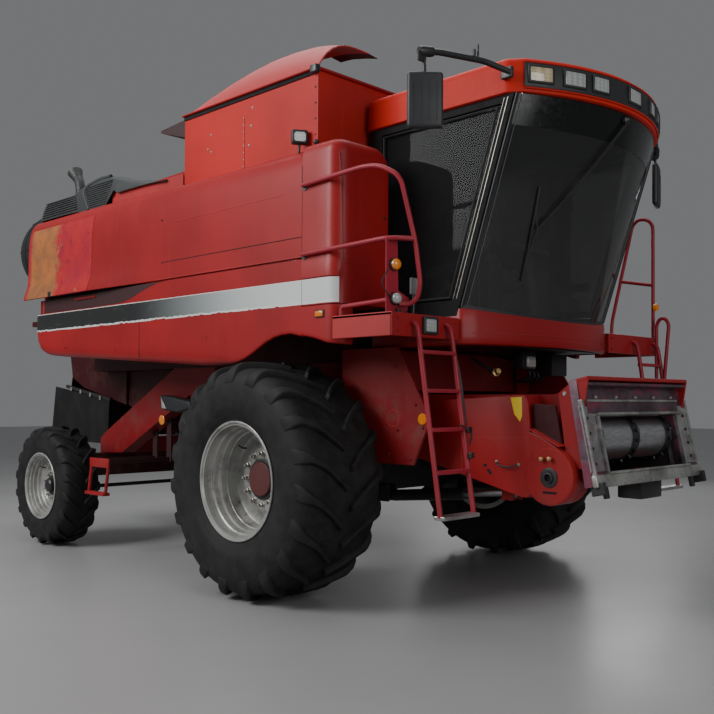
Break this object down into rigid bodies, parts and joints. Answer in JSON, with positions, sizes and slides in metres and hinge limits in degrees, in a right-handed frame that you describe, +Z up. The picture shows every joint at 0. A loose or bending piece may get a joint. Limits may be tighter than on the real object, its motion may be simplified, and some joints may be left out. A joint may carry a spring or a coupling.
{
  "type": "combine harvester",
  "caption": "Self-propelled combine harvester without a header: cab, grain tank, feeder house, unloading auger and steered rear axle.",
  "frame": {"origin": "on the ground under the middle of the machine's overall length and width", "axes": "-Y is the front, where the feeder house is, +Y the rear, +X the machine's left side, where the unloading auger is, +Z up"},
  "size_m": [3.63, 7.05, 4.125],
  "materials": {
    "red_paint": "faded gloss red paint with dust and scuffs",
    "black_paint": "satin black paint",
    "black_trim": "matt black moulded and coated parts",
    "tyre_rubber": "dusty black rubber",
    "rim_paint": "worn silver-grey paint",
    "tinted_glass": "tinted safety glass",
    "dark_iron": "oily dark cast iron",
    "worn_steel": "bare steel polished by crop",
    "black_rubber": "dull black rubber sheet",
    "seat_fabric": "dark woven seat cloth"
  },
  "bodies": {
    "body": {"front_axle": "dark_iron", "rear_axle_beam": "red_paint", "main_frame": "red_paint", "separator_casing": "red_paint", "upper_panel_left": "red_paint", "upper_panel_right": "red_paint", "corner_panel_right": "red_paint", "corner_panel_left": "red_paint", "grain_tank": "red_paint", "engine": "dark_iron", "engine_deck": "red_paint", "engine_hood": "black_trim", "exhaust_pipe": "worn_steel", "fuel_tank": "black_trim", "screen_duct": "black_trim", "straw_hood": "red_paint", "straw_curtain": "black_rubber", "cab_base": "red_paint", "cab_frame": "black_trim", "cab_window_right": "tinted_glass", "windshield": "tinted_glass", "cab_roof": "red_paint", "seat_base": "black_trim", "seat_cushion": "seat_fabric", "steering_column": "black_trim", "platform_right": "red_paint", "platform_left": "red_paint", "mirror_left": "black_trim", "mirror_right": "black_trim", "auger_turret": "red_paint"},
    "front_wheel_left": {"front_rim_left": "rim_paint", "front_tyre_left": "tyre_rubber"},
    "front_wheel_right": {"front_rim_right": "rim_paint", "front_tyre_right": "tyre_rubber"},
    "knuckle_left": {"knuckle_left": "dark_iron"},
    "rear_wheel_left": {"rear_rim_left": "rim_paint", "rear_tyre_left": "tyre_rubber"},
    "knuckle_right": {"knuckle_right": "dark_iron"},
    "rear_wheel_right": {"rear_rim_right": "rim_paint", "rear_tyre_right": "tyre_rubber"},
    "tie_rod": {"tie_rod": "dark_iron"},
    "feeder": {"feeder_house": "red_paint", "feeder_faceplate": "worn_steel", "feeder_conveyor": "worn_steel"},
    "lift_barrel_left": {"lift_barrel_left": "black_paint"},
    "lift_rod_left": {"lift_rod_left": "worn_steel"},
    "lift_barrel_right": {"lift_barrel_right": "black_paint"},
    "lift_rod_right": {"lift_rod_right": "worn_steel"},
    "unloading_auger": {"unloading_auger": "red_paint"},
    "cab_door": {"cab_door": "black_trim", "cab_door_glass": "tinted_glass"},
    "tank_lid_right": {"tank_lid_right": "red_paint"},
    "tank_lid_left": {"tank_lid_left": "red_paint"},
    "side_shield_left": {"side_shield_left": "red_paint"},
    "side_shield_right": {"side_shield_right": "red_paint"},
    "rotary_screen": {"rotary_screen": "black_trim"},
    "spreader_disc_left": {"spreader_disc_left": "worn_steel"},
    "spreader_disc_right": {"spreader_disc_right": "worn_steel"}
  },
  "joints": [
    {"name": "front_wheel_left_spin", "type": "hinge", "parent": "body", "child": "front_wheel_left", "pos_m": [1.43, -1.195, 0.87], "axis": [1, 0, 0], "continuous": true},
    {"name": "front_wheel_right_spin", "type": "hinge", "parent": "body", "child": "front_wheel_right", "pos_m": [-1.43, -1.195, 0.87], "axis": [1, 0, 0], "continuous": true},
    {"name": "rear_steer_left", "type": "hinge", "parent": "body", "child": "knuckle_left", "pos_m": [1.075, 2.305, 0.59], "axis": [0, 0, 1], "range_deg": [-38, 38]},
    {"name": "rear_wheel_left_spin", "type": "hinge", "parent": "knuckle_left", "child": "rear_wheel_left", "pos_m": [1.4, 2.305, 0.59], "axis": [1, 0, 0], "continuous": true},
    {"name": "rear_steer_right", "type": "hinge", "parent": "body", "child": "knuckle_right", "pos_m": [-1.075, 2.305, 0.59], "axis": [0, 0, 1], "range_deg": [-38, 38]},
    {"name": "rear_wheel_right_spin", "type": "hinge", "parent": "knuckle_right", "child": "rear_wheel_right", "pos_m": [-1.4, 2.305, 0.59], "axis": [1, 0, 0], "continuous": true},
    {"name": "tie_rod_pivot", "type": "hinge", "parent": "knuckle_right", "child": "tie_rod", "pos_m": [-1.06, 2.565, 0.522], "axis": [0, 0, 1], "range_deg": [-38, 38]},
    {"name": "feeder_lift", "type": "hinge", "parent": "body", "child": "feeder", "pos_m": [0, -1.645, 1.3], "axis": [1, 0, 0], "range_deg": [-4, 24]},
    {"name": "lift_barrel_left_swing", "type": "hinge", "parent": "body", "child": "lift_barrel_left", "pos_m": [0.43, -1.455, 0.69], "axis": [1, 0, 0], "range_deg": [-6, 24]},
    {"name": "lift_rod_left_slide", "type": "slide", "parent": "lift_barrel_left", "child": "lift_rod_left", "axis": [0, -0.996, 0.0898], "range_m": [-0.3, 0.06]},
    {"name": "lift_barrel_right_swing", "type": "hinge", "parent": "body", "child": "lift_barrel_right", "pos_m": [-0.43, -1.455, 0.69], "axis": [1, 0, 0], "range_deg": [-6, 24]},
    {"name": "lift_rod_right_slide", "type": "slide", "parent": "lift_barrel_right", "child": "lift_rod_right", "axis": [0, -0.996, 0.0898], "range_m": [-0.3, 0.06]},
    {"name": "unloading_auger_swing", "type": "hinge", "parent": "body", "child": "unloading_auger", "pos_m": [1.33, -1.835, 3.43], "axis": [0, 0, -1], "range_deg": [0, 95]},
    {"name": "cab_door_hinge", "type": "hinge", "parent": "body", "child": "cab_door", "pos_m": [0.94, -2.121, 2.7], "axis": [0, 0, 1], "range_deg": [0, 86]},
    {"name": "tank_lid_right_hinge", "type": "hinge", "parent": "body", "child": "tank_lid_right", "pos_m": [-1.385, -0.8, 3.884], "axis": [0, -1, 0], "range_deg": [0, 100]},
    {"name": "tank_lid_left_hinge", "type": "hinge", "parent": "body", "child": "tank_lid_left", "pos_m": [1.085, -0.8, 3.884], "axis": [0, 1, 0], "range_deg": [0, 100]},
    {"name": "side_shield_left_hinge", "type": "hinge", "parent": "body", "child": "side_shield_left", "pos_m": [1.536, 0.305, 2.451], "axis": [0, -1, 0], "range_deg": [0, 75]},
    {"name": "side_shield_right_hinge", "type": "hinge", "parent": "body", "child": "side_shield_right", "pos_m": [-1.536, 0.305, 2.451], "axis": [0, 1, 0], "range_deg": [0, 75]},
    {"name": "rotary_screen_spin", "type": "hinge", "parent": "body", "child": "rotary_screen", "pos_m": [-0.95, 2.805, 3.05], "axis": [0, 1, 0], "continuous": true},
    {"name": "spreader_disc_left_spin", "type": "hinge", "parent": "body", "child": "spreader_disc_left", "pos_m": [0.35, 2.955, 1.12], "axis": [0, 0, 1], "continuous": true},
    {"name": "spreader_disc_right_spin", "type": "hinge", "parent": "body", "child": "spreader_disc_right", "pos_m": [-0.35, 2.955, 1.12], "axis": [0, 0, 1], "continuous": true}
  ],
  "couplings": [
    {"joint": "rear_steer_left", "follows": "rear_steer_right", "ratio": 1},
    {"joint": "tie_rod_pivot", "follows": "rear_steer_right", "ratio": -1},
    {"joint": "lift_barrel_left_swing", "follows": "feeder_lift", "ratio": 0.8584},
    {"joint": "lift_rod_left_slide", "follows": "feeder_lift", "m_per_rad": -0.6152},
    {"joint": "lift_barrel_right_swing", "follows": "feeder_lift", "ratio": 0.8584},
    {"joint": "lift_rod_right_slide", "follows": "feeder_lift", "m_per_rad": -0.6152}
  ]
}
